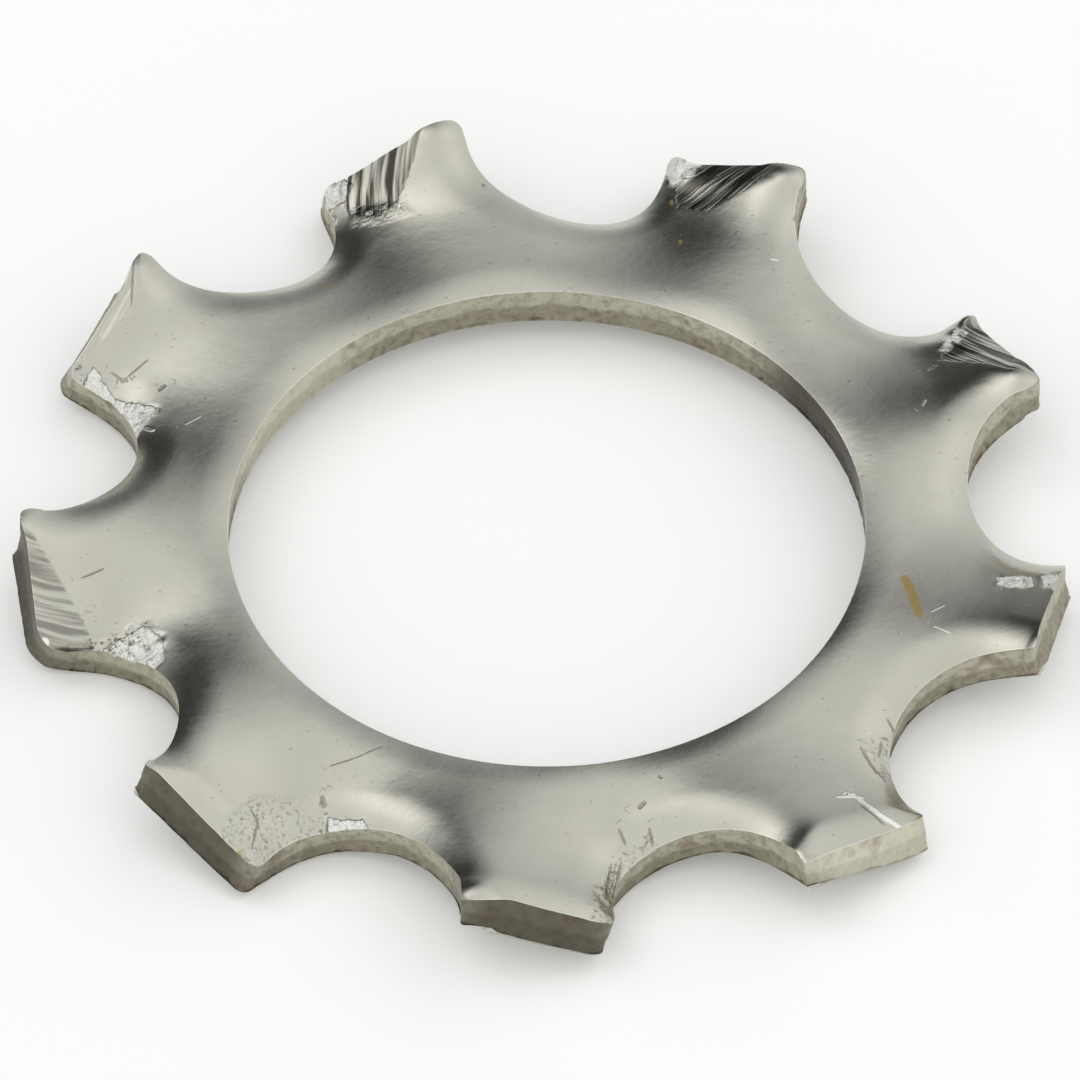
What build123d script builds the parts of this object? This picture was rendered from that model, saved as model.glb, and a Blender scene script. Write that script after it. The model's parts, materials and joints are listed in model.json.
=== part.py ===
"""Toothed lock washer for a 10 mm screw: a pressed sheet ring with outside teeth.

The blank is punched from flat sheet: a round bore, and a ring of round notches
that leave flat-ended teeth between them.  Two wavy dies then press the blank, so
that each tooth leans about its own centre line: one corner of its end is lifted
and the other is pushed down.  The lean grows evenly, from nothing at the bore to
its full height at the corners of the teeth.  The dies' wave is turned a little
from the teeth, the ring is pressed slightly hollow and the ends of the teeth are
bent up, so the lifted corners stand further out than the pushed-down ones.

Frame: millimetres.  The origin is on the bore's axis, at half the thickness of
the sheet.  +Z runs along the bore, towards the side that the punch entered, where
the edges are drawn in and rounded.  One tooth points along -Y.
"""

import os
from math import asin, atan2, cos, degrees, hypot, radians, sin

from build123d import *

# ---- Driving dimensions (mm) ----
bore_diameter = 10.7  # clear of a 10 mm screw
ring_width = 1.75  # from the bore to the bottom of a notch
tooth_depth = 1.8  # from the bottom of a notch to the circle of the tooth corners
tooth_width = 2.5  # straight end of a tooth, from corner to corner
tooth_count = 9
sheet_thickness = 0.9
wave_height = 0.43  # of the dies' wave at the tooth corners, up and down from its middle
wave_turn = 2  # degrees that the wave is turned from the teeth, anticlockwise
ring_hollow = 0.1  # how far the ring is pressed down towards the bottom of the notches
tooth_rise = 0.15  # how far the ends of the teeth are bent up above the bore's level

outer_die_roll = 0.26  # rounding of the upper edge round the teeth and notches
bore_die_roll = 0.15  # rounding of the upper edge of the bore
breakout_depth = 0.3  # height of the torn band at the foot of the bore
breakout_flare = 0.05  # how much the torn band widens down to the lower side
press_mark_width = 1.0  # flat pressed on a pushed-down corner, along the tooth's side
press_mark_depth = 0.2  # how far that flat lies below the sheet at the corner

# ---- How finely the wave is drawn ----
points_across = 9  # points that carry one section of the wave
section_count = 5  # sections from the bore to the end of a tooth

# ---- Worked-out sizes ----
pitch = 360 / tooth_count
front_tooth_angle = -90
front_notch_angle = front_tooth_angle + pitch / 2

bore_radius = bore_diameter / 2
root_radius = bore_radius + ring_width
corner_radius = root_radius + tooth_depth

# A tooth's end is a straight cut, from corner to corner.
corner_angle = degrees(asin(tooth_width / 2 / corner_radius))
tooth_reach = corner_radius * cos(radians(corner_angle))
innermost_reach = bore_radius * cos(radians(pitch / 2))

# A notch's circle passes through the near corners of two teeth and the root circle.
gap_reach = corner_radius * cos(radians(pitch / 2 - corner_angle))
notch_centre_radius = (corner_radius**2 - root_radius**2) / (2 * (gap_reach - root_radius))
notch_radius = notch_centre_radius - root_radius


def wave(radius, angle):
    """Height of the sheet's middle, by radius and by angle from a tooth's line."""
    growth = (radius - bore_radius) / (corner_radius - bore_radius)
    lean = -wave_height * growth * sin(radians(tooth_count * (angle - wave_turn)))
    bend = (2 * ring_hollow + tooth_rise) * growth**5 - 2 * ring_hollow * growth
    return lean + bend


def wave_across(reach, offset):
    """Points of one side of the sheet, across one pitch at this distance out."""
    points = []
    for step in range(points_across):
        angle = pitch * (step / (points_across - 1) - 0.5)
        radius = reach / cos(radians(angle))
        points.append((radius * sin(radians(angle)), wave(radius, angle) + offset))
    return points


def on_upper_side(reach, across):
    """Point on the upper side of the tooth that lies along +X."""
    angle = degrees(atan2(across, reach))
    return Vector(reach, across, wave(hypot(reach, across), angle) + sheet_thickness / 2)


def middle_radius(edge):
    """Distance of an edge's middle from the bore's axis."""
    middle = edge @ 0.5
    return hypot(middle.X, middle.Y)


def is_upper(edge):
    """True for an edge that runs along the upper side of the sheet."""
    middle = edge @ 0.5
    angle = degrees(atan2(middle.Y, middle.X)) - front_tooth_angle
    return middle.Z - wave(middle_radius(edge), angle) > sheet_thickness / 4


# ---- One pitch of the waved sheet, with its tooth along +X ----
with BuildPart() as sector:
    for step in range(section_count):
        share = step / (section_count - 1)
        reach = innermost_reach + share * (tooth_reach - innermost_reach)
        with BuildSketch(Plane(origin=(reach, 0, 0), x_dir=(0, 1, 0), z_dir=(1, 0, 0))):
            with BuildLine():
                upper = Spline(wave_across(reach, sheet_thickness / 2))
                lower = Spline(wave_across(reach, -sheet_thickness / 2))
                Line(upper @ 0, lower @ 0)
                Line(upper @ 1, lower @ 1)
            make_face()
    loft()

# ---- The die's flat on the tooth along +X ----
# It starts at the lifted corner and widens towards the pushed-down one.
mark_start = on_upper_side(tooth_reach, -tooth_width / 2)
mark_end = on_upper_side(tooth_reach - press_mark_width, tooth_width / 2)
pressed_corner = on_upper_side(tooth_reach, tooth_width / 2) - Vector(0, 0, press_mark_depth)
mark_direction = mark_end - mark_start
mark_plane = Plane(
    origin=mark_start,
    x_dir=mark_direction,
    z_dir=(pressed_corner - mark_start).cross(mark_direction),
)

# ---- The washer ----
with BuildPart() as lock_washer:
    with PolarLocations(0, tooth_count, start_angle=front_tooth_angle):
        add(sector.part)

    # The bore, whose torn band flares down to the lower side
    Hole(bore_radius)
    with Locations((0, 0, -sheet_thickness / 2)):
        Cone(
            bottom_radius=bore_radius + 2 * breakout_flare,
            top_radius=bore_radius,
            height=2 * breakout_depth,
            mode=Mode.SUBTRACT,
        )

    # The notches between the teeth
    with PolarLocations(notch_centre_radius, tooth_count, start_angle=front_notch_angle):
        Hole(notch_radius)

    # The upper edges, drawn in by the punch
    upper_edges = lock_washer.edges().filter_by(is_upper)
    bore_rim = upper_edges.filter_by(lambda edge: middle_radius(edge) < bore_radius + 0.01)
    outer_rim = upper_edges.filter_by(lambda edge: middle_radius(edge) > root_radius - 0.01)
    fillet(outer_rim, outer_die_roll)
    fillet(bore_rim, bore_die_roll)

    # The flats on the pushed-down corners
    with PolarLocations(0, tooth_count, start_angle=front_tooth_angle):
        with Locations(mark_plane):
            Box(
                4 * tooth_width,
                2 * tooth_width,
                2 * sheet_thickness,
                align=(Align.CENTER, Align.MAX, Align.MIN),
                mode=Mode.SUBTRACT,
            )

lock_washer.part.label = "lock_washer"

os.makedirs("parts", exist_ok=True)
export_step(lock_washer.part, "parts/lock_washer.step")
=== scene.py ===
"""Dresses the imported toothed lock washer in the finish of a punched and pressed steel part.

The washer is made here as it is made in a press shop: a flat blank is punched, its
edges are drawn in and torn, wavy dies press it, and then it is tumbled and handled.
Lengths are in millimetres until the finished mesh is brought to metres.
"""

from __future__ import annotations

import json
import logging
import math
from dataclasses import dataclass, field
from enum import Enum
from functools import partial

import bmesh
import bpy
from mathutils import Matrix, Vector, noise


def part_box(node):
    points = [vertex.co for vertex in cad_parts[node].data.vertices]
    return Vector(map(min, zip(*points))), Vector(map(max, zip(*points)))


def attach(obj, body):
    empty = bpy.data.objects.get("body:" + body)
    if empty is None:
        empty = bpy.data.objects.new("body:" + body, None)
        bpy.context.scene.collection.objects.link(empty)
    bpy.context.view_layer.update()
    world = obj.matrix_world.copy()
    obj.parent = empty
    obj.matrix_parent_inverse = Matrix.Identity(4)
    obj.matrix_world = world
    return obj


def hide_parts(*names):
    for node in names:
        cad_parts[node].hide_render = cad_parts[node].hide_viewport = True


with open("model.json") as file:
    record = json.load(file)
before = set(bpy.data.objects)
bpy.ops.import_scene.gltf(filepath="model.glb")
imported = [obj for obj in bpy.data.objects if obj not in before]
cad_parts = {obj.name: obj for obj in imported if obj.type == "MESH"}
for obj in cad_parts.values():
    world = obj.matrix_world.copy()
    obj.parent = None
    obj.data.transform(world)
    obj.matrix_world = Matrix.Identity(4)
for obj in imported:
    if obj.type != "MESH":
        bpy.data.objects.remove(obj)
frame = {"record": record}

LOG = logging.getLogger("lock_washer")
MM = 0.001
NODE = "lock_washer"
END_TRIM = 0.017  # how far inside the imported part's reach an average tooth ends
ON_EDGE = 0.01  # how near a point is to an edge that it lies on
TIP_SPAN = 1.6  # from the root circle outwards, over which a tooth takes its own bend
SHARP_ANGLE = 32.0  # edges sharper than this are not shaded smoothly


def mount(name: str) -> dict:
    """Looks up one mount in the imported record.

    Args:
        name: the mount's name.

    Returns:
        The mount's entry.
    """
    return next(entry for entry in frame["record"]["mounts"] if entry["name"] == name)


def mix(low: float, high: float, share: float) -> float:
    """Returns the value that lies at this share of the way from low to high."""
    return low + (high - low) * share


def smooth(share: float) -> float:
    """Returns the share eased at both ends and held between 0 and 1."""
    share = min(1.0, max(0.0, share))
    return share * share * (3.0 - 2.0 * share)


def linear_colour(code: str) -> tuple[float, float, float, float]:
    """Turns an sRGB hex value into Blender's linear colour."""
    parts = [int(code[i : i + 2], 16) / 255 for i in (1, 3, 5)]
    return (*[p / 12.92 if p <= 0.04045 else ((p + 0.055) / 1.055) ** 2.4 for p in parts], 1.0)


@dataclass(frozen=True)
class Tooth:
    """How one tooth came out of the press.

    Args:
        lean: height of the dies' wave at its corners, up and down.
        wave_turn: how far the wave lies turned from the tooth, in degrees.
        rise: how much further its end is bent up than the others' on average.
        curl: how much its two sides are bent against each other.
        extra_reach: how much further out its end lies than the nominal one.
        swing: how far its end is swung round, in degrees.
        raised_round: radius of its raised corner in plan.
        pushed_round: radius of its pushed-down corner in plan.
        end_roll: share of the edge's drawn-in roll that its end has; past 1, on its raised
            side only.
        upright: how nearly its end face stands upright in spite of its bend, 0 to 1.
    """

    lean: float
    wave_turn: float
    rise: float
    curl: float
    extra_reach: float
    swing: float
    raised_round: float = 0.12
    pushed_round: float = 0.15
    end_roll: float = 1.0
    upright: float = 0.0


# From the front tooth on, anticlockwise seen from above.
TEETH = (
    Tooth(0.539, 3.21, -0.011, 0.086, -0.042, 1.73, 0.10, 0.30),
    Tooth(0.399, 0.53, -0.059, -0.007, 0.024, -0.03, 0.10, 0.12, 1.9),
    Tooth(0.414, 2.08, 0.038, 0.033, -0.150, -0.18, 0.08, 0.10, 0.2, 0.85),
    Tooth(0.535, 0.01, 0.121, 0.023, -0.074, -0.46, 0.20, 0.12),
    Tooth(0.451, 0.98, 0.052, -0.002, 0.024, 0.96, 0.25, 0.15),
    Tooth(0.399, 0.87, -0.016, -0.093, 0.108, 0.73, 0.20, 0.30, 0.35),
    Tooth(0.364, 0.39, 0.015, -0.016, 0.144, 0.52, 0.15, 0.25, 0.4),
    Tooth(0.529, 1.54, -0.019, 0.057, 0.005, 0.81, 0.35, 0.50, 0.4, 0.6),
    Tooth(0.463, 0.38, -0.034, 0.047, -0.036, 0.96, 0.15, 0.20),
)


@dataclass
class Plan:
    """The washer's outline in plan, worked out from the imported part.

    Args:
        bore_radius: radius of the bore.
        thickness: thickness of the sheet.
        tooth_reach: how far out the average tooth's end lies.
        tooth_width: width of a tooth's end, from corner to corner.
        ring_width: from the bore to the bottom of a notch.
        teeth: how many teeth there are.
        block_reach: how far out the ring's rows of faces end and a tooth's own rows start.
    """

    bore_radius: float = mount("bore")["dims"]["r_mm"]
    thickness: float = mount("bore")["dims"]["length_mm"]
    tooth_reach: float = -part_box(NODE)[0].y / MM - END_TRIM
    tooth_width: float = 2.556
    ring_width: float = 1.770
    teeth: int = len(TEETH)
    block_reach: float = 7.49

    def __post_init__(self) -> None:
        """Works out the notch's circle from the corners of the teeth and the root circle."""
        self.pitch = 360.0 / self.teeth
        self.root_radius = self.bore_radius + self.ring_width
        self.corner_radius = math.hypot(self.tooth_reach, self.tooth_width / 2)
        corner_angle = math.degrees(math.asin(self.tooth_width / 2 / self.corner_radius))
        gap_reach = self.corner_radius * math.cos(math.radians(self.pitch / 2 - corner_angle))
        self.notch_centre = (self.corner_radius**2 - self.root_radius**2) / (
            2 * (gap_reach - self.root_radius)
        )
        self.notch_radius = self.notch_centre - self.root_radius
        half_pitch = math.radians(self.pitch / 2)
        self.notch = Vector((math.cos(half_pitch), math.sin(half_pitch))) * self.notch_centre

    def half_width(self, reach: float) -> float:
        """Half the width of a tooth at this distance out."""
        return self.notch.y - math.sqrt(self.notch_radius**2 - (reach - self.notch.x) ** 2)

    def tooth_end(self, number: int, across: float) -> float:
        """Finds how far out a tooth's end lies, with its corners rounded off.

        Args:
            number: the tooth's number.
            across: distance from the tooth's line, negative on the raised side.

        Returns:
            The distance of the end line from the centre.
        """
        tooth = TEETH[number]
        corner = tooth.raised_round if across < 0 else tooth.pushed_round
        into = min(corner, max(0.0, abs(across) - (self.tooth_width / 2 - corner)))
        return self.tooth_reach + tooth.extra_reach - corner + math.sqrt(corner**2 - into**2)

    def outwards(self, number: int, reach: float, across: float) -> Vector:
        """Finds the way out of the sheet at a point of its outline.

        Args:
            number: the tooth's number.
            reach: distance out along the tooth's line.
            across: distance from the tooth's line.

        Returns:
            The unit vector, along and across the tooth's line.
        """
        place = Vector((reach, across))
        if place.length < self.bore_radius + ON_EDGE:
            return -place.normalized()
        corner = TEETH[number].raised_round if across < 0 else TEETH[number].pushed_round
        side = Vector((self.notch.x - reach, math.copysign(self.notch.y, across) - across)).normalized()
        gap = self.tooth_reach + TEETH[number].extra_reach - reach
        return side.lerp(Vector((1.0, 0.0)), smooth(1 - gap / (corner + 2 * ON_EDGE))).normalized()

    def to_notch(self, reach: float, across: float) -> float:
        """Distance of a point of one tooth's pitch from the nearer notch's wall."""
        return math.hypot(reach - self.notch.x, abs(across) - self.notch.y) - self.notch_radius


@dataclass
class Blank:
    """The flat blank: a ring with nine teeth, as a closed shell of even quads.

    Args:
        plan: the outline.
        ring_rows: rows of faces from the bore to the root circle.
        tooth_rows: rows of faces from there to a tooth's end.
        tooth_columns: columns of faces across a tooth.
        gap_columns: columns of faces on each side of a tooth, to the middle of the notch.
        wall_rows: rows of faces through the thickness.
        crowding: how much the rows and columns crowd at the edges, 0 to 1.
    """

    plan: Plan
    ring_rows: int = 34
    tooth_rows: int = 24
    tooth_columns: int = 44
    gap_columns: int = 22
    wall_rows: int = 8
    crowding: float = 0.75

    def __post_init__(self) -> None:
        """Works out how the columns share one pitch."""
        self.columns = self.tooth_columns + 2 * self.gap_columns
        self.tooth_share = self.tooth_columns / self.columns

    def build(self) -> bmesh.types.BMesh:
        """Makes the blank.

        Returns:
            The closed shell, with its layers "pitch" (the tooth's number) and "flat"
            (distance out, distance across and height in the flat sheet).
        """
        shell = bmesh.new()
        self._spin_ring(shell)
        self._draw_out_teeth(shell)
        self._punch(shell)
        self._thicken(shell)
        return shell

    def _spin_ring(self, shell: bmesh.types.BMesh) -> None:
        """Spins a row of vertices from the bore to the root circle into a ring.

        Args:
            shell: the empty mesh that takes it.
        """
        start = math.radians(-90 - self.plan.pitch / 2)
        ray = Vector((math.cos(start), math.sin(start), 0.0))
        ends = [shell.verts.new(ray * r) for r in (self.plan.bore_radius, self.plan.root_radius)]
        edge = shell.edges.new(ends)
        bmesh.ops.subdivide_edges(shell, edges=[edge], cuts=self.ring_rows - 1)
        bmesh.ops.spin(
            shell,
            geom=shell.verts[:] + shell.edges[:],
            cent=(0.0, 0.0, 0.0),
            axis=(0.0, 0.0, 1.0),
            angle=2 * math.pi,
            steps=self.columns * self.plan.teeth,
            use_merge=True,
        )

    def _place(self, point: Vector) -> tuple[int, float]:
        """Finds which tooth a point belongs to.

        Args:
            point: the point in the flat blank.

        Returns:
            The tooth's number, and the angle from its line in half pitches.
        """
        turned = math.degrees(math.atan2(point.y, point.x)) + 90 + self.plan.pitch / 2
        pitches = (turned % 360.0) / self.plan.pitch
        number = min(int(pitches), self.plan.teeth - 1)
        return number, 2 * (pitches - number) - 1

    def _draw_out_teeth(self, shell: bmesh.types.BMesh) -> None:
        """Extrudes the outer edge of the ring outwards, row by row, where the teeth are.

        The rows are evened out to 1 mm in all here, and _punch takes them to the true outline.

        Args:
            shell: the mesh that holds the ring.
        """
        rim = [
            edge
            for edge in shell.edges
            if edge.is_boundary
            and edge.verts[0].co.length > self.plan.root_radius - ON_EDGE
            and abs(self._place((edge.verts[0].co + edge.verts[1].co) / 2)[1]) < self.tooth_share
        ]
        for row in range(self.tooth_rows):
            grown = bmesh.ops.extrude_edge_only(shell, edges=rim)["geom"]
            radius = self.plan.root_radius + (row + 1) / self.tooth_rows
            for item in grown:
                if isinstance(item, bmesh.types.BMVert):
                    item.co *= radius / item.co.length
            rim = [item for item in grown if isinstance(item, bmesh.types.BMEdge)]

    def _punch(self, shell: bmesh.types.BMesh) -> None:
        """Moves the even grid onto the true outline, with its rows crowded at the edges.

        Args:
            shell: the mesh, which gets the layers "pitch" and "flat".
        """
        plan = self.plan
        pitch_layer = shell.verts.layers.int.new("pitch")
        flat_layer = shell.verts.layers.float_vector.new("flat")
        block_angle = math.atan2(
            plan.block_reach - plan.notch.x, plan.notch.y - plan.half_width(plan.block_reach)
        )
        root_angle = -math.pi / 2 + math.radians(plan.pitch / 2)
        for vertex in shell.verts:
            number, swing = self._place(vertex.co)
            radius = vertex.co.length
            side = math.copysign(1.0, swing)
            share = abs(swing) / self.tooth_share
            across_share = min(1.0, share)
            crowded = side * self._crowd_end(across_share)
            if radius > plan.root_radius + ON_EDGE / 10:
                row = self._crowd_end(radius - plan.root_radius)
                end = plan.tooth_end(number, crowded * plan.tooth_width / 2)
                reach = mix(plan.block_reach, end, row)
                flat = Vector((reach, crowded * plan.half_width(min(reach, plan.tooth_reach)), 0))
            else:
                row = self._crowd_both((radius - plan.bore_radius) / plan.ring_width)
                angle = math.radians(swing * plan.pitch / 2)
                bore = Vector((math.cos(angle), math.sin(angle), 0)) * plan.bore_radius
                if share <= 1.0:
                    outer = Vector((plan.block_reach, crowded * plan.half_width(plan.block_reach), 0))
                else:
                    gap_share = (abs(swing) - self.tooth_share) / (1 - self.tooth_share)
                    around = mix(block_angle, root_angle, gap_share)
                    outer = Vector(
                        (
                            plan.notch.x + plan.notch_radius * math.sin(around),
                            side * (plan.notch.y - plan.notch_radius * math.cos(around)),
                            0,
                        )
                    )
                flat = bore.lerp(outer, row)
            vertex[pitch_layer] = number
            vertex[flat_layer] = flat

    def _crowd_end(self, share: float) -> float:
        """Crowds even steps towards the share of 1."""
        return mix(share, math.sin(share * math.pi / 2), self.crowding)

    def _crowd_both(self, share: float) -> float:
        """Crowds even steps towards both ends."""
        return mix(share, (1 - math.cos(share * math.pi)) / 2, self.crowding)

    def _thicken(self, shell: bmesh.types.BMesh) -> None:
        """Gives the sheet its thickness, and its walls their rows.

        Args:
            shell: the sheet without thickness.
        """
        half = self.plan.thickness / 2
        flat_layer = shell.verts.layers.float_vector["flat"]
        bmesh.ops.recalc_face_normals(shell, faces=shell.faces[:])
        bmesh.ops.solidify(shell, geom=shell.faces[:], thickness=self.plan.thickness)
        heights = [vertex.co.z for vertex in shell.verts]
        middle = (min(heights) + max(heights)) / 2
        for vertex in shell.verts:
            flat = vertex[flat_layer].copy()
            flat.z = math.copysign(half, vertex.co.z - middle)
            vertex[flat_layer] = flat
        upright = [
            edge
            for edge in shell.edges
            if edge.verts[0][flat_layer].z * edge.verts[1][flat_layer].z < 0
        ]
        bmesh.ops.subdivide_edges(shell, edges=upright, cuts=self.wall_rows - 1, use_grid_fill=True)


class Wear(Enum):
    """What the dies and the handling left on a patch of the upper side."""

    STRIATED = "striated"
    CRUMPLED = "crumpled"
    MOTTLED = "mottled"


@dataclass(frozen=True)
class Patch:
    """A worn patch at one tooth, with its corners out and across from the tooth's line.

    Args:
        wear: what it looks like.
        tooth: the tooth's number.
        corners: its outline, as pairs of distance out and distance across.
        slope: how steeply it is pressed down from its outline inwards.
        shade: how much darker it is than the steel round it.
        way: which way its striations run, in degrees from the tooth's line.
        relief: height of its crumples.
    """

    wear: Wear
    tooth: int
    corners: tuple[tuple[float, float], ...]
    slope: float = 0.0
    shade: float = 0.0
    way: float = 0.0
    relief: float = 0.0

    def inside(self, place: Vector) -> float:
        """Finds how far inside the outline a point lies.

        Args:
            place: the point, out and across from the tooth's line.

        Returns:
            The distance to the outline, negative outside it.
        """
        nearest = 9.0
        within = False
        before = Vector(self.corners[-1])
        for corner in self.corners:
            here = Vector(corner)
            side, gap = here - before, place - before
            share = min(1.0, max(0.0, gap.dot(side) / side.dot(side)))
            nearest = min(nearest, (gap - side * share).length)
            if (before.y > place.y) != (here.y > place.y):
                crossing = before.x + (place.y - before.y) / (here.y - before.y) * (here.x - before.x)
                within = within != (place.x < crossing)
            before = here
        return nearest if within else -nearest


PATCHES = (
    Patch(Wear.STRIATED, 7, (
        (8.8, -1.0), (8.46, -0.29), (8.05, 0.62), (7.79, 1.31), (8.47, 1.6), (9.1, 1.3), (9.1, -0.1),
    ), slope=0.07, shade=0.55, way=-16),
    Patch(Wear.MOTTLED, 7, (
        (8.57, 1.16), (7.87, 1.0), (6.8, 1.12), (6.8, 1.62), (7.74, 1.68), (8.6, 1.75),
    ), shade=0.95, relief=0.03),
    Patch(Wear.CRUMPLED, 7, (
        (8.43, 1.53), (7.7, 1.4), (6.86, 1.16), (6.6, 1.5), (6.62, 2.05), (7.2, 2.3), (7.75, 2.1),
    ), slope=0.1, relief=0.06),
    Patch(Wear.MOTTLED, 7, (
        (8.02, 0.35), (7.67, 0.45), (7.66, 0.91), (8.07, 0.8),
    ), shade=0.4, relief=0.02),
    Patch(Wear.STRIATED, 6, (
        (8.93, -1.15), (9.2, -0.84), (9.1, 0.5), (8.76, 0.49), (8.68, -0.06), (8.61, -0.27),
    ), slope=0.16, shade=0.05, way=96),
    Patch(Wear.CRUMPLED, 6, (
        (8.45, 2.13), (8.5, 1.7), (8.62, 0.85), (8.3, 1.01), (7.89, 1.23), (7.0, 1.16), (7.08, 2.05),
        (7.76, 1.79),
    ), slope=0.12, relief=0.04),
    Patch(Wear.MOTTLED, 6, (
        (9.1, 0.73), (8.55, 1.03), (8.31, 1.84), (8.75, 2.1), (9.1, 1.33),
    ), slope=0.1, shade=0.75, relief=0.03),
    Patch(Wear.STRIATED, 5, (
        (9.2, -0.77), (8.49, -0.44), (7.86, 0.06), (7.7, 0.45), (7.96, 0.94), (8.61, 0.95), (9.2, 0.6),
    ), slope=0.12, shade=0.95, way=-22),
    Patch(Wear.CRUMPLED, 5, (
        (9.1, 1.26), (9.1, 0.81), (8.71, 0.6), (8.42, 0.86), (8.42, 1.26),
    ), slope=-0.2, relief=0.05),
    Patch(Wear.CRUMPLED, 5, (
        (8.55, 1.55), (8.66, 1.23), (8.11, 1.2), (7.96, 1.7),
    ), slope=-0.2, relief=0.05),
    Patch(Wear.MOTTLED, 5, (
        (8.19, 0.84), (7.8, -0.03), (7.48, -0.02), (7.46, 0.47), (7.75, 1.04),
    ), shade=0.5, relief=0.02),
    Patch(Wear.STRIATED, 4, (
        (8.16, 0.85), (8.64, 0.47), (9.2, 0.2), (9.2, -0.84), (8.9, -0.84), (8.27, -0.48), (7.67, 0.17),
        (7.69, 0.7),
    ), slope=0.12, shade=0.8, way=-33),
    Patch(Wear.CRUMPLED, 4, (
        (8.6, 1.3), (9.1, 1.2), (9.1, 0.62), (8.46, 0.62), (8.24, 0.95),
    ), slope=-0.25, relief=0.06),
    Patch(Wear.STRIATED, 3, (
        (8.6, 1.05), (9.1, 0.6), (9.1, -0.97), (8.57, -0.97), (8.31, -0.51), (7.66, 0.26), (8.04, 0.55),
    ), slope=0.1, shade=0.9, way=-74),
    Patch(Wear.CRUMPLED, 3, (
        (8.35, 0.95), (8.5, 0.72), (7.95, 0.4), (7.78, 0.52),
    ), slope=-0.15, shade=0.1, relief=0.05),
    Patch(Wear.CRUMPLED, 2, (
        (7.58, 0.48), (8.19, 0.59), (8.31, 0.28), (7.73, 0.17),
    ), slope=0.1, relief=0.05),
    Patch(Wear.CRUMPLED, 2, (
        (8.33, 0.66), (8.9, 0.9), (9.1, 0.33), (9.1, 0.01), (8.45, 0.34),
    ), slope=0.1, shade=0.1, relief=0.05),
    Patch(Wear.MOTTLED, 1, (
        (6.82, 1.31), (6.86, 2.25), (7.21, 2.04), (7.68, 1.21), (7.44, 1.04),
    ), shade=0.5, relief=0.015),
    Patch(Wear.MOTTLED, 0, (
        (7.31, 1.26), (6.83, 1.6), (6.46, 2.11), (6.75, 2.4), (7.6, 1.75), (9.1, 1.4), (9.1, 0.75),
        (8.08, 0.82),
    ), shade=0.65, relief=0.03),
    Patch(Wear.MOTTLED, 8, (
        (9.2, 0.21), (7.67, 0.3), (6.97, 1.0), (7.2, 1.9), (8.3, 1.75), (9.2, 1.5),
    ), shade=0.45, relief=0.01),
    Patch(Wear.CRUMPLED, 8, (
        (7.0, 1.58), (6.68, 2.13), (6.9, 2.75), (7.3, 2.75), (7.57, 2.09),
    ), slope=0.15, relief=0.03),
    Patch(Wear.MOTTLED, 8, (
        (6.84, 1.2), (6.76, 1.37), (7.55, 2.09), (7.66, 1.96),
    ), slope=0.3, shade=0.8, relief=0.02),
)


@dataclass(frozen=True)
class Burr:
    """A lip or spike of steel that the shears left standing at a corner.

    Args:
        tooth: the tooth's number.
        place: its middle, out and across from the tooth's line.
        push: how far it stands out, across and up.
        width: how wide it is.
    """

    tooth: int
    place: tuple[float, float]
    push: tuple[float, float, float]
    width: float


BURRS = (
    Burr(5, (8.45, 1.42), (-0.02, 0.14, 0.02), 0.22),
    Burr(4, (8.8, 1.05), (0.05, 0.05, 0.05), 0.24),
    Burr(3, (8.62, 1.1), (0.06, 0.06, 0.05), 0.2),
    Burr(3, (8.4, 1.1), (0.0, 0.05, 0.03), 0.3),
)


@dataclass(frozen=True)
class Stroke:
    """A thin line or spot on the upper side, in millimetres on the washer.

    Args:
        start: where it starts.
        end: where it ends.
        width: how wide it is.
    """

    start: tuple[float, float]
    end: tuple[float, float]
    width: float

    def measure(self, place: Vector) -> Vector:
        """Measures a point by the stroke.

        Args:
            place: the point on the washer, in millimetres.

        Returns:
            How far it lies along and across the stroke, as shares of its half length and
            half width, and 1 where it is near.
        """
        start, end = Vector(self.start), Vector(self.end)
        half = max((end - start).length / 2, 0.01) + self.width / 2
        way = (end - start).normalized() if end != start else Vector((1.0, 0.0))
        gap = place - (start + end) / 2
        along, across = gap.dot(way), gap.x * way.y - gap.y * way.x
        near = abs(along) < half + 0.15 and abs(across) < self.width + 0.12
        return Vector((along / half, 2 * across / self.width, 1.0 if near else 0.0))


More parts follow.
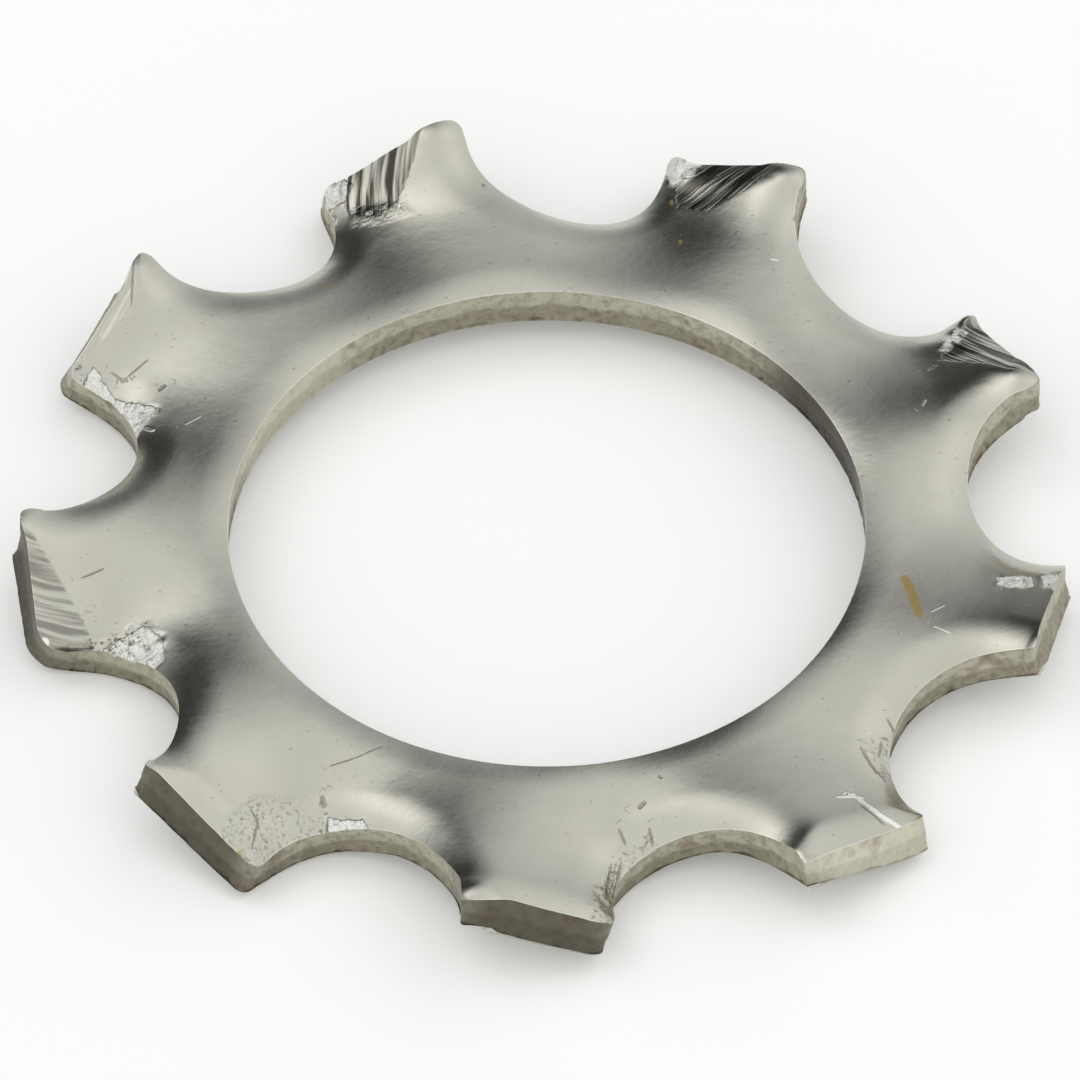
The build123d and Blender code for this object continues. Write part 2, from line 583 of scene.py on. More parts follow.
SCRATCHES = (
    Stroke((-7.72, -1.53), (-7.38, -1.33), 0.035),
    Stroke((-7.53, 3.33), (-7.32, 3.19), 0.04),
    Stroke((-7.32, 3.19), (-6.95, 3.55), 0.035),
    Stroke((-6.63, 3.04), (-6.7, 2.96), 0.07),
    Stroke((-7.28, 5.26), (-7.27, 4.46), 0.04),
    Stroke((5.47, -4.48), (5.69, -4.83), 0.06),
    Stroke((5.69, -4.83), (5.9, -5.02), 0.05),
    Stroke((5.89, -3.81), (6.09, -4.08), 0.05),
    Stroke((5.77, -4.53), (5.8, -4.25), 0.05),
    Stroke((5.53, -5.84), (5.91, -6.15), 0.05),
    Stroke((1.86, -6.09), (1.93, -6.01), 0.08),
    Stroke((2.16, -5.5), (2.18, -5.52), 0.06),
    Stroke((1.44, -7.14), (1.4, -7.67), 0.05),
    Stroke((1.6, -7.05), (1.51, -7.76), 0.05),
    Stroke((1.54, -6.52), (1.65, -6.74), 0.06),
    Stroke((2.04, -6.49), (2.1, -6.69), 0.06),
    Stroke((-3.32, -5.41), (-2.91, -5.26), 0.03),
    Stroke((-2.91, -5.26), (-2.49, -5.04), 0.025),
    Stroke((-3.42, -6.03), (-3.38, -6.15), 0.1),
    Stroke((-4.58, -6.39), (-4.46, -6.6), 0.035),
    Stroke((-4.46, -6.6), (-4.53, -7.14), 0.035),
    Stroke((-3.33, -6.47), (-3.26, -6.97), 0.06),
    Stroke((-1.49, 7.65), (-1.49, 7.63), 0.06),
    Stroke((6.25, 3.95), (6.35, 4.05), 0.05),
)
# Painted highlights: spots and short lines whitened into the colour where the light catches
GLINTS = (
    Stroke((-8.26, -2.7), (-8.26, -2.7), 0.12),
    Stroke((-6.88, 2.18), (-6.77, 2.1), 0.09),
    Stroke((-6.2, 2.13), (-5.97, 2.29), 0.03),
    Stroke((-3.41, 7.23), (-3.41, 7.23), 0.11),
    Stroke((-2.9, 7.28), (-2.9, 7.22), 0.04),
    Stroke((3.49, 6.14), (3.59, 6.13), 0.04),
    Stroke((6.18, 2.95), (6.22, 3.05), 0.04),
    Stroke((6.52, -1.69), (6.72, -1.54), 0.035),
    Stroke((6.59, -2.04), (6.84, -2.18), 0.035),
    Stroke((5.13, -5.72), (5.42, -5.61), 0.06),
    Stroke((5.42, -5.61), (5.83, -5.96), 0.1),
    Stroke((5.83, -5.96), (6.27, -6.17), 0.1),
)
OCHRE_SPOTS = (
    Stroke((6.05, -0.9), (6.17, -1.21), 0.16),
    Stroke((6.17, -1.21), (6.25, -1.51), 0.17),
    Stroke((6.25, -1.51), (6.32, -1.77), 0.15),
    Stroke((-3.96, 5.38), (-3.94, 5.33), 0.07),
    Stroke((3.87, 7.14), (3.85, 7.05), 0.08),
    Stroke((1.7, 7.78), (1.72, 7.7), 0.06),
    Stroke((1.91, 6.7), (1.92, 6.64), 0.06),
    Stroke((-4.74, -7.23), (-4.72, -7.29), 0.08),
    Stroke((-8.05, -2.78), (-7.85, -2.84), 0.07),
    Stroke((7.07, -2.96), (7.08, -3.05), 0.09),
)
STROKES = {"scratch": SCRATCHES, "glint": GLINTS, "ochre": OCHRE_SPOTS}


@dataclass(frozen=True)
class WallTone:
    """A darker or lighter stretch of the walls, in millimetres on the washer.

    Args:
        place: its middle.
        spread: how far it reaches.
        strength: how much it darkens the steel, negative where it lightens it.
    """

    place: tuple[float, float]
    spread: float
    strength: float

    def at(self, point: Vector) -> float:
        """Returns how strong the tone is at a point of the washer."""
        share = 1 - (point - Vector(self.place)).length / self.spread
        return self.strength * smooth(1.6 * share)


# Darker and lighter wall stretches: on the bore's right side painted shade, on its left painted light, and
# darker or lighter walls at four teeth's ends
WALL_TONES = (
    WallTone((0.3, -8.75), 2.0, 0.85),
    WallTone((-5.66, -6.74), 1.9, 0.85),
    WallTone((5.8, -6.6), 1.9, -0.5),
    WallTone((-8.7, -1.4), 2.0, 0.9),
    WallTone((4.63, 2.68), 2.4, 1.0),
    WallTone((-4.6, 2.75), 2.4, -0.45),
)


@dataclass
class Press:
    """The wavy dies, and the edges that the punch drew in and tore before them.

    Args:
        plan: the outline.
        ring_hollow: how far the ring is pressed down towards the notch bottoms.
        tooth_rise: how far the average tooth's end is bent up above the bore's level.
        ridge: height of the wave's own crest along a tooth's line.
        ring_stiffness: share by which the wave grows more slowly near the bore.
        side_roll_width: how far in from a notch the upper side is drawn down.
        end_roll_width: how far in from a tooth's end it is.
        outer_roll_depth: how far down, at both.
        bore_roll_width: how far in from the bore it is drawn down.
        bore_roll_depth: how far down there.
        bore_hold: how far out from the bore its wall still stands upright.
        break_depth: how far the lower edge is broken off.
        break_width: how far in from the edge that reaches.
        burnish_share: share of a wall's height that is burnished, from the top.
        tear_depth: how far the torn band lies back from the burnished one.
        raised_stop: height at which the dies stop a raised corner.
        raised_give: height over which they slow it down.
        pushed_stop: depth at which they stop a pushed-down corner.
        pushed_give: depth over which they slow it down.
        off_centre: how far the teeth lie off the bore's axis.
    """

    plan: Plan
    ring_hollow: float = 0.122
    tooth_rise: float = 0.171
    ridge: float = -0.001
    ring_stiffness: float = 0.164
    side_roll_width: float = 0.723
    end_roll_width: float = 0.622
    outer_roll_depth: float = 0.189
    bore_roll_width: float = 0.55
    bore_roll_depth: float = 0.076
    bore_hold: float = 1.2
    break_depth: float = 0.09
    break_width: float = 0.12
    burnish_share: float = 0.45
    tear_depth: float = 0.035
    raised_stop: float = 0.53
    raised_give: float = 0.07
    pushed_stop: float = 0.435
    pushed_give: float = 0.06
    off_centre: Vector = field(default_factory=lambda: Vector((0.004, 0.067)))

    def form(self, shell: bmesh.types.BMesh) -> None:
        """Moves every vertex of the flat blank to its place in the finished washer.

        Args:
            shell: the blank, which gets the layers that the finishes read.
        """
        flat_layer = shell.verts.layers.float_vector["flat"]
        pitch_layer = shell.verts.layers.int["pitch"]
        grain_layer = shell.verts.layers.float_vector.new("grain")
        stroke_layers = {name: shell.verts.layers.float_vector.new(name) for name in STROKES}
        names = [wear.value for wear in Wear] + ["shade", "wall", "rim", "stain_and_shade"]
        layers = {name: shell.verts.layers.float.new(name) for name in names}
        half = self.plan.thickness / 2
        walls = self._mark_walls(shell, flat_layer)
        bends: dict[tuple[int, float, float], tuple[float, float, float]] = {}
        for vertex in shell.verts:
            flat = vertex[flat_layer].copy()
            number = vertex[pitch_layer]
            key = (number, round(flat.x, 5), round(flat.y, 5))
            if key not in bends:
                bends[key] = self._bend(number, flat.x, flat.y)
            share = (flat.z + half) / (2 * half)
            upper, lower = share > 0.999, share < 0.001
            vertex[layers["wall"]] = share
            # The upper edges' vertices get a thin painted highlight
            vertex[layers["rim"]] = 1.0 if vertex in walls and upper else 0.0
            lift = mix(-half, half - self.roll(number, flat.x, flat.y), share)
            if lower:
                broken = 1 - self._to_edge(number, flat.x, flat.y) / self.break_width
                lift += self.break_depth * smooth(broken)
            if upper:
                lift += self._worn(vertex, layers, grain_layer, number, flat)
            if vertex in walls:
                pull = self._torn(number, flat, share)
                flat.xy += self.plan.outwards(number, flat.x, flat.y) * pull
            vertex.co = self._pressed(number, flat, share, lift, bends[key])
            if vertex in walls:
                # The walls' darker and lighter stretches: painted shade and light on the bore, darker or
                # lighter tooth ends
                vertex[layers["stain_and_shade"]] = sum(stain_and_shade.at(vertex.co.xy) for stain_and_shade in WALL_TONES)
            self._drawn(vertex, stroke_layers, upper)

    def _mark_walls(self, shell: bmesh.types.BMesh, flat_layer: bmesh.types.BMLayerItem) -> set:
        """Gives the faces through the thickness the walls' material.

        Args:
            shell: the blank.
            flat_layer: the layer with each vertex's place in the flat sheet.

        Returns:
            The vertices of those faces.
        """
        walls = set()
        for face in shell.faces:
            heights = [vertex[flat_layer].z for vertex in face.verts]
            if max(heights) - min(heights) > ON_EDGE:
                face.material_index = 1
                walls.update(face.verts)
        return walls

    def _pressed(
        self, number: int, flat: Vector, share: float, lift: float, bend: tuple[float, float, float]
    ) -> Vector:
        """Finds where the dies take a point of the flat blank.

        Args:
            number: the tooth that the point belongs to.
            flat: its place in the flat sheet.
            share: its share of the thickness, 0 on the lower side.
            lift: how far it lies from the sheet's middle, upwards.
            bend: the middle's height there, and its slopes out and across.

        Returns:
            The point on the washer.
        """
        height, slope_out, slope_across = bend
        freed = smooth((flat.xy.length - self.plan.bore_radius) / self.bore_hold)
        tip = 1 / math.sqrt(1 + slope_out**2 + slope_across**2)
        if lift > 0:
            gap = self.plan.tooth_end(number, flat.y) - flat.x
            slope_out *= 1 - TEETH[number].upright * smooth(1 - gap)
        reach = flat.x - slope_out * tip * lift * freed
        across = flat.y - slope_across * tip * lift * freed
        height += lift * tip
        for burr in BURRS:
            if burr.tooth == number and share > 0.3:
                near = (Vector(burr.place) - flat.xy).length / burr.width
                if near < 1:
                    force = (1 - near * near) * mix(0.3, 1.0, share)
                    reach += burr.push[0] * force
                    across += burr.push[1] * force
                    height += burr.push[2] * force
        return self._world(number, reach, across, height)

    def _drawn(self, vertex: bmesh.types.BMVert, layers: dict, upper: bool) -> None:
        """Measures a vertex by the stroke of each kind that is nearest to it.

        Args:
            vertex: the vertex.
            layers: each kind's layer, which takes the measures.
            upper: whether the vertex is on the upper side, which alone has strokes.
        """
        for name, strokes in STROKES.items():
            best = math.inf
            vertex[layers[name]] = Vector((9.0, 9.0, 0.0))
            for stroke in strokes if upper else ():
                if abs(vertex.co.x - stroke.start[0]) > 1.2 or abs(vertex.co.y - stroke.start[1]) > 1.2:
                    continue
                measured = stroke.measure(vertex.co.xy)
                reach = max(abs(measured.x), abs(measured.y))
                if measured.z and reach < best:
                    best = reach
                    vertex[layers[name]] = measured

    def _world(self, number: int, reach: float, across: float, height: float) -> Vector:
        """Turns a point of one tooth's pitch to its place round the washer.

        Args:
            number: the tooth's number.
            reach: distance out along the tooth's line.
            across: distance from the tooth's line.
            height: its height.

        Returns:
            The point on the washer.
        """
        radius = math.hypot(reach, across)
        swung = TEETH[number].swing * smooth((radius - self.plan.root_radius) / TIP_SPAN)
        angle = math.radians(-90 + number * self.plan.pitch + swung) + math.atan2(across, reach)
        place = Vector((radius * math.cos(angle), radius * math.sin(angle), height))
        place.xy += self.off_centre * smooth((radius - self.plan.bore_radius) / self.plan.ring_width)
        return place

    def _bend(self, number: int, reach: float, across: float) -> tuple[float, float, float]:
        """Finds how the sheet's middle lies at a point.

        Args:
            number: the tooth's number.
            reach: distance out along the tooth's line.
            across: distance from the tooth's line.

        Returns:
            Its height, and its slopes out and across.
        """
        step = 0.01
        here = self.lean(number, reach, across)
        out = (self.lean(number, reach + step, across) - here) / step
        return here, out, (self.lean(number, reach, across + step) - here) / step

    def lean(self, number: int, reach: float, across: float) -> float:
        """Finds the height that the dies give the sheet at a point of one tooth's pitch.

        Args:
            number: the tooth's number.
            reach: distance out along the tooth's line.
            across: distance from the tooth's line.

        Returns:
            The height of the sheet's middle.
        """
        angle = math.degrees(math.atan2(across, reach))
        neighbour = TEETH[(number + (1 if angle > 0 else -1)) % self.plan.teeth]
        shared = 0.5 * smooth((abs(angle) - 8.0) / 12.0)
        tooth = TEETH[number]
        radius = math.hypot(reach, across)
        out = (radius - self.plan.bore_radius) / (self.plan.corner_radius - self.plan.bore_radius)
        phase = math.radians(
            self.plan.teeth * (angle - mix(tooth.wave_turn, neighbour.wave_turn, shared))
        )
        at_tip = smooth((radius - self.plan.root_radius) / TIP_SPAN)
        wave = mix(tooth.lean, neighbour.lean, shared) * out * (1 - self.ring_stiffness * (1 - out))
        bend = (2 * self.ring_hollow + self.tooth_rise) * out**5 - 2 * self.ring_hollow * out
        own_bend = at_tip * (tooth.rise + tooth.curl * math.sin(2 * phase))
        crest = self.ridge * out * math.cos(phase)
        return self._bottom_out(bend - wave * math.sin(phase) + crest + own_bend)

    def _bottom_out(self, height: float) -> float:
        """Stops the sheet softly where the dies meet it at the end of their stroke.

        Args:
            height: the height that the wave alone would give.

        Returns:
            The height that is left.
        """
        stop, give = self.raised_stop, self.raised_give
        if height <= 0:
            stop, give = self.pushed_stop, self.pushed_give
        over = abs(height) - (stop - give)
        if over <= 0:
            return height
        return math.copysign(stop - give * math.exp(-over / give), height)

    def _to_edge(self, number: int, reach: float, across: float) -> float:
        """Finds how far a point is from the nearest edge of the sheet.

        Args:
            number: the tooth's number.
            reach: distance out along the tooth's line.
            across: distance from the tooth's line.

        Returns:
            The distance in the flat sheet.
        """
        to_bore = math.hypot(reach, across) - self.plan.bore_radius
        to_end = self.plan.tooth_end(number, across) - reach
        return min(to_bore, to_end, self.plan.to_notch(reach, across))

    def roll(self, number: int, reach: float, across: float) -> float:
        """Finds how far the punch drew the upper side down at a point near an edge.

        Args:
            number: the tooth's number.
            reach: distance out along the tooth's line.
            across: distance from the tooth's line.

        Returns:
            The depth below the flat sheet's upper side.
        """
        end = self.plan.tooth_end(number, across) - reach
        share = TEETH[number].end_roll
        if share > 1:
            share = mix(1.0, share, smooth(0.5 - across / self.plan.tooth_width))
        share **= 0.5
        at_end = min(1.0, max(0.0, 1 - end / self.end_roll_width)) * share
        at_side = min(1.0, max(0.0, 1 - self.plan.to_notch(reach, across) / self.side_roll_width))
        outer = min(max(1.0, share), (at_end**6 + at_side**6) ** (1 / 6))
        inner = 1 - (math.hypot(reach, across) - self.plan.bore_radius) / self.bore_roll_width
        drop = self.outer_roll_depth * outer**2
        return drop + self.bore_roll_depth * min(1.0, max(0.0, inner)) ** 2

    def _torn(self, number: int, flat: Vector, share: float) -> float:
        """Finds how far a wall lies out from its line, burnished above and torn below.

        Args:
            number: the tooth's number.
            flat: the wall's point in the flat sheet.
            share: its share of the thickness, 0 on the lower side.

        Returns:
            The distance outwards.
        """
        angle = number * self.plan.pitch + math.degrees(math.atan2(flat.y, flat.x))
        around = math.radians(angle) * math.hypot(flat.x, flat.y)
        torn_to = 1 - self.burnish_share + 0.12 * noise.noise(Vector((around * 1.5, 0.0, 3.0)))
        rough = noise.noise(Vector((around * 5.0, share * 5.0, number * 1.0)))
        rough += 0.6 * noise.noise(Vector((around * 11.0, share * 9.0, 7.0)))
        if share > torn_to:
            return 0.004 * noise.noise(Vector((around * 12.0, share, 1.0)))
        hollow = smooth((torn_to - share) / 0.12) * (1 - 0.7 * smooth(1 - share / 0.15))
        return -self.tear_depth * hollow * (0.6 + 0.8 * rough) - 0.01 * abs(rough)

    def _worn(
        self,
        vertex: bmesh.types.BMVert,
        layers: dict,
        grain_layer: bmesh.types.BMLayerItem,
        number: int,
        flat: Vector,
    ) -> float:
        """Marks a vertex with the patches it lies in.

        Args:
            vertex: the vertex of the upper side.
            layers: the layers that take the marks.
            grain_layer: the layer that takes the place along and across the striations.
            number: the tooth that the vertex belongs to.
            flat: its place in the flat sheet.

        Returns:
            How far the patches lift it.
        """
        lift = 0.0
        for patch in PATCHES:
            turn = (number - patch.tooth + 1) % self.plan.teeth - 1
            if turn not in (-1, 0, 1):
                continue
            place = flat.xy
            if turn != 0:
                place = Matrix.Rotation(math.radians(turn * self.plan.pitch), 2) @ place
            inside = patch.inside(place)
            if inside < -0.2:
                continue
            if patch.wear is Wear.STRIATED:
                way = math.radians(patch.way)
                along = place.x * math.cos(way) + place.y * math.sin(way)
                vertex[grain_layer] = Vector((along, place.y * math.cos(way) - place.x * math.sin(way), 0))
            cover = smooth(0.5 + inside / 0.1)
            vertex[layers[patch.wear.value]] = max(vertex[layers[patch.wear.value]], cover)
            vertex[layers["shade"]] = max(vertex[layers["shade"]], cover * patch.shade)
            crumple = noise.noise(Vector((place.x * 5, place.y * 5, patch.tooth * 3.0)))
            crumple += 0.6 * noise.noise(Vector((place.x * 11, place.y * 11, 5.0)))
            lift += cover * patch.relief * crumple - patch.slope * min(0.3, max(0.0, inside))
        return lift


MATH = "ShaderNodeMath"
VECTOR_MATH = "ShaderNodeVectorMath"
NOISE = "ShaderNodeTexNoise"
MIX = "ShaderNodeMix"
RANGE = "ShaderNodeMapRange"


def add_node(
    tree: bpy.types.NodeTree, kind: str, inputs: dict | None = None, **settings
) -> bpy.types.Node:
    """Adds a shader node with its settings and links.

    Args:
        tree: the node tree.
        kind: the node's type.
        inputs: input name or number to its value, or to the node or socket that feeds it.
        settings: the node's attributes.

    Returns:
        The new node.
    """
    node = tree.nodes.new(kind)
    for name, value in settings.items():
        setattr(node, name, value)
    for key, value in (inputs or {}).items():
        if isinstance(value, bpy.types.Node):
            value = result(value)
        if isinstance(value, bpy.types.NodeSocket):
            tree.links.new(value, node.inputs[key])
        else:
            node.inputs[key].default_value = value
    return node


def result(node: bpy.types.Node) -> bpy.types.NodeSocket:
    """Returns the first output that the node has in use."""
    return next(socket for socket in node.outputs if socket.enabled)


def start_steel(name: str) -> tuple[bpy.types.Material, partial, bpy.types.Node]:
    """Starts the material of a bare metal.

    Args:
        name: the material's name.

    Returns:
        The material, add_node for its tree, and the node that gives the place on the
        washer in millimetres.
    """
    material = bpy.data.materials.new(name)
    material.use_nodes = True
    tree = material.node_tree
    tree.nodes["Principled BSDF"].inputs["Metallic"].default_value = 1.0
    add = partial(add_node, tree)
    metres = add("ShaderNodeTexCoord").outputs["Object"]
    return material, add, add(VECTOR_MATH, {0: metres, "Scale": 1 / MM}, operation="SCALE")


def coat(add: partial, colour: bpy.types.Node, coats: tuple) -> bpy.types.Node:
    """Lays colours over one another.

    Args:
        add: add_node for the material's tree.
        colour: the node with the colour underneath.
        coats: for each coat, what gives its cover and its sRGB hex value.

    Returns:
        The node with the last coat's colour.
    """
    for cover, shade in coats:
        colour = add(MIX, {0: cover, 6: colour, 7: linear_colour(shade)}, data_type="RGBA")
    return colour


def end_steel(
    material: bpy.types.Material,
    add: partial,
    colour: bpy.types.Node,
    roughness: bpy.types.Node,
    height: bpy.types.Node,
) -> bpy.types.Material:
    """Feeds the metal's shader.

    Args:
        material: the material.
        add: add_node for its tree.
        colour: the node with its colour.
        roughness: the node with its roughness.
        height: the node with its relief in millimetres.

    Returns:
        The material.
    """
    bump = add("ShaderNodeBump", {"Height": height, "Distance": MM, "Strength": 1.0})
    shader = material.node_tree.nodes["Principled BSDF"]
    for name, node in (("Base Color", colour), ("Roughness", roughness), ("Normal", bump)):
        material.node_tree.links.new(result(node), shader.inputs[name])
    return material


@dataclass(frozen=True)
class TumbledSteel:
    """Stainless steel sheet, pressed and then tumbled: a soft satin with fine grain and pits.

    The tumbling gives the eye a blurred, slightly warm reflection; the dies' scrapes give
    dark and light striations, darkened partly with dirt and partly as painted shade. Torn spots
    give bright crumples, whitened with a painted highlight and with painted shade in their
    creases, and the glints and a thin line along the upper edges are painted highlights.
    """

    bright: str = "#C6C5BA"
    dull: str = "#B8B7AA"
    # Near-white: the crumpled patches' bare steel with a painted highlight on it, and the painted
    # highlights of the glints and of the upper edges
    bare_and_highlight: str = "#F0F0EA"
    grime_and_shade: str = "#35322A"
    soil_and_shade: str = "#7C7566"
    stain_and_shade: str = "#4B4534"
    scored: str = "#77736A"
    ochre: str = "#B39C68"
    roughness: float = 0.2
    worn_roughness: float = 0.22  # added where the steel is torn or dirty
    grain_mm: float = 0.09  # coarser than the real grain, which is too fine to show
    striation_mm: float = 0.14
    fleck_mm: float = 0.07
    pit_mm: float = 0.11
    crease_mm: float = 1 / 6
    peel_mm: float = 0.9

    def make(self) -> bpy.types.Material:
        """Makes the material.

        Returns:
            The new material.
        """
        material, add, place = start_steel("tumbled_stainless_sheet")
        marks = {
            name: add("ShaderNodeAttribute", attribute_name=name).outputs["Fac"]
            for name in ("striated", "crumpled", "mottled", "shade", "rim")
        }
        grain = add(NOISE, {"Vector": place, "Scale": 1 / self.grain_mm, "Detail": 2.0})
        cloud = add(NOISE, {"Vector": place, "Scale": 1 / self.peel_mm, "Detail": 3.0})
        crease = {"Vector": place, "Scale": 1 / self.crease_mm, "Detail": 4.0, "Roughness": 0.65}
        rough = add(NOISE, crease)
        fleck = add(NOISE, {"Vector": place, "Scale": 1 / self.fleck_mm, "Detail": 4.0})
        pit = add(NOISE, {"Vector": place, "Scale": 1 / self.pit_mm, "Detail": 1.0})
        pit = add(RANGE, {0: pit, 1: 0.71, 2: 0.8, 4: 0.35})
        lines = self._lines(add)

        # The patches' outlines are frayed; dirt gathers in specks, and the scraped lines are darkened
        # partly with dirt and partly as painted shade
        fray = add(RANGE, {0: rough, 1: 0.3, 2: 0.7, 3: -0.35, 4: 0.35})
        worn = {}
        for name in ("striated", "crumpled"):
            frayed = add(MATH, {0: marks[name], 1: fray}, operation="ADD")
            worn[name] = add(RANGE, {0: frayed, 1: 0.35, 2: 0.65})
        strokes = self._strokes(add, rough)
        # Darker scraped lines in the striated patches: partly dirt, partly painted shade of the pressed
        # facets
        grime_and_shade = add(MATH, {0: lines, 1: worn["striated"]}, operation="MULTIPLY")
        grime_and_shade = add(MATH, {0: grime_and_shade, 1: marks["shade"]}, operation="MULTIPLY")
        dirt = add(MATH, {0: marks["mottled"], 1: fleck}, operation="MULTIPLY")
        blotch = add(RANGE, {0: dirt, 1: 0.52, 2: 0.7})
        stained = add(MATH, {0: blotch, 1: marks["shade"]}, operation="MULTIPLY")
        # Painted shade in the crumples' hollows, where their relief is lowest
        crease_shade = add(RANGE, {0: rough, 1: 0.44, 2: 0.36, 4: 0.45})
        crease_shade = add(MATH, {0: crease_shade, 1: worn["crumpled"]}, operation="MULTIPLY")
        scratched = add(MATH, {0: strokes["scratch"], 1: 0.6}, operation="MULTIPLY")
        # A thin painted highlight along the upper edges
        rim = add(MATH, {0: marks["rim"], 1: 0.6}, operation="MULTIPLY")

        base = {0: cloud, 6: linear_colour(self.bright), 7: linear_colour(self.dull)}
        coats = (
            (worn["crumpled"], self.bare_and_highlight),
            (rim, self.bare_and_highlight),
            (crease_shade, self.grime_and_shade),
            (grime_and_shade, self.grime_and_shade),
            (stained, self.stain_and_shade),
            (pit, self.soil_and_shade),
            (scratched, self.scored),
            (strokes["glint"], self.bare_and_highlight),
            (strokes["ochre"], self.ochre),
        )
        colour = coat(add, add(MIX, base, data_type="RGBA"), coats)

        dulled = add(MATH, {0: worn["crumpled"], 1: blotch}, operation="MAXIMUM")
        dulled = add(MATH, {0: dulled, 1: strokes["ochre"]}, operation="MAXIMUM")
        dulled = add(
            MATH, {0: dulled, 1: self.worn_roughness, 2: self.roughness}, operation="MULTIPLY_ADD"
        )
        roughness = add(MATH, {0: grain, 1: 0.08, 2: dulled}, operation="MULTIPLY_ADD")

        # Each pattern with its height in millimetres
        striae = add(MATH, {0: lines, 1: worn["striated"]}, operation="MULTIPLY")
        crumples = add(MATH, {0: rough, 1: worn["crumpled"]}, operation="MULTIPLY")
        height = add(MATH, {0: grain, 1: 0.0017}, operation="MULTIPLY")
        for pattern, relief in (
            (cloud, 0.012),
            (pit, -0.002),
            (striae, -0.006),
            (crumples, 0.12),
            (dirt, 0.014),
            (strokes["scratch"], -0.006),
            (strokes["glint"], 0.006),
        ):
            height = add(MATH, {0: pattern, 1: relief, 2: height}, operation="MULTIPLY_ADD")
        return end_steel(material, add, colour, roughness, height)

    def _lines(self, add: partial) -> bpy.types.Node:
        """Draws the lines that the dies scraped, along the mesh's own grain.

        Args:
            add: add_node for the material's tree.

        Returns:
            The node with their depth, 0 to 1.
        """
        grain = add("ShaderNodeAttribute", attribute_name="grain").outputs["Vector"]
        drawn_out = (0.5, 1 / self.striation_mm, 1.0)
        lines = add(VECTOR_MATH, {0: grain, 1: drawn_out}, operation="MULTIPLY")
        lines = add(NOISE, {"Vector": lines, "Scale": 1.0, "Detail": 2.0, "Roughness": 0.6})
        return add(RANGE, {0: lines, 1: 0.42, 2: 0.58})

    def _strokes(self, add: partial, rough: bpy.types.Node) -> dict[str, bpy.types.Node]:
        """Draws the scratches, glints and ochre spots from the mesh's measures.

        Args:
            add: add_node for the material's tree.
            rough: the node with a fine noise that frays them.

        Returns:
            A node for each kind, 1 on its strokes.
        """
        drawn = {}
        for name in STROKES:
            measured = add("ShaderNodeAttribute", attribute_name=name).outputs["Vector"]
            along, across, _ = add("ShaderNodeSeparateXYZ", {0: measured}).outputs
            squared_off = add(MATH, {0: along, 1: 4.0}, operation="POWER")
            past = add(MATH, {0: across, 1: across, 2: squared_off}, operation="MULTIPLY_ADD")
            frayed = add(MATH, {0: rough, 1: 1.6, 2: past}, operation="MULTIPLY_ADD")
            drawn[name] = add(RANGE, {0: frayed, 1: 2.3, 2: 1.3})
        return drawn


@dataclass(frozen=True)
class ShearedSteel:
    """The punched walls: a burnished band above a torn one, dulled brownish with use.

    The shears give the eye fine upright streaks in the burnished band and a coarse mottled
    grain in the torn one. Listed stretches are darker or lighter: painted shade on the bore's
    right side, painted light on its left, and darker or lighter walls at some teeth's ends.
    """

    burnished: str = "#B9B6A4"
    torn: str = "#A09B89"
    soil_and_shade: str = "#504C42"
    pale: str = "#E4E1D0"
    rust: str = "#6E4A3A"
    roughness: float = 0.32
    streak_mm: float = 0.05  # coarser than the real streaks, which are too fine to show
    tear_mm: float = 0.16
    cloud_mm: float = 0.625

    def make(self) -> bpy.types.Material:
        """Makes the material.

        Returns:
            The new material.
        """
        material, add, place = start_steel("sheared_stainless_wall")
        level = add("ShaderNodeAttribute", attribute_name="wall").outputs["Fac"]
        drawn_out = (1 / self.streak_mm, 1 / self.streak_mm, 0.8)
        upright = add(VECTOR_MATH, {0: place, 1: drawn_out}, operation="MULTIPLY")
        streak = add(NOISE, {"Vector": upright, "Scale": 1.0, "Detail": 2.0})
        grit = {"Vector": place, "Scale": 1 / self.tear_mm, "Detail": 5.0, "Roughness": 0.7}
        tear = add(NOISE, grit)
        cloud = add(NOISE, {"Vector": place, "Scale": 1 / self.cloud_mm, "Detail": 3.0})
        wavy = add(MATH, {0: cloud, 1: 0.5, 2: level}, operation="MULTIPLY_ADD")
        burnished = add(RANGE, {0: wavy, 1: 0.76, 2: 0.86})

        soiled = add(RANGE, {0: tear, 1: 0.45, 2: 0.70, 4: 0.5})
        rusted = add(RANGE, {0: cloud, 1: 0.62, 2: 0.72, 4: 0.45})
        # Darker and lighter stretches: painted shade on the bore's right side and painted light on its
        # left, and darker or lighter walls at some teeth's ends
        stain_and_shade = add("ShaderNodeAttribute", attribute_name="stain_and_shade").outputs["Fac"]
        darkened = add(RANGE, {0: stain_and_shade, 1: 0.0, 2: 1.0})
        lightened = add(RANGE, {0: stain_and_shade, 1: 0.0, 2: -1.0})
        base = {0: burnished, 6: linear_colour(self.torn), 7: linear_colour(self.burnished)}
        coats = (
            (soiled, self.soil_and_shade),
            (darkened, self.soil_and_shade),
            (lightened, self.pale),
            (rusted, self.rust),
        )
        colour = coat(add, add(MIX, base, data_type="RGBA"), coats)
        roughness = add(MATH, {0: tear, 1: 0.3, 2: self.roughness}, operation="MULTIPLY_ADD")

        # The torn band's grit, then the burnished band's streaks, in millimetres
        height = add(MIX, {0: burnished, 2: tear, 3: 0.5}, data_type="FLOAT")
        height = add(MATH, {0: height, 1: 0.035}, operation="MULTIPLY")
        height = add(MATH, {0: streak, 1: 0.006, 2: height}, operation="MULTIPLY_ADD")
        return end_steel(material, add, colour, roughness, height)


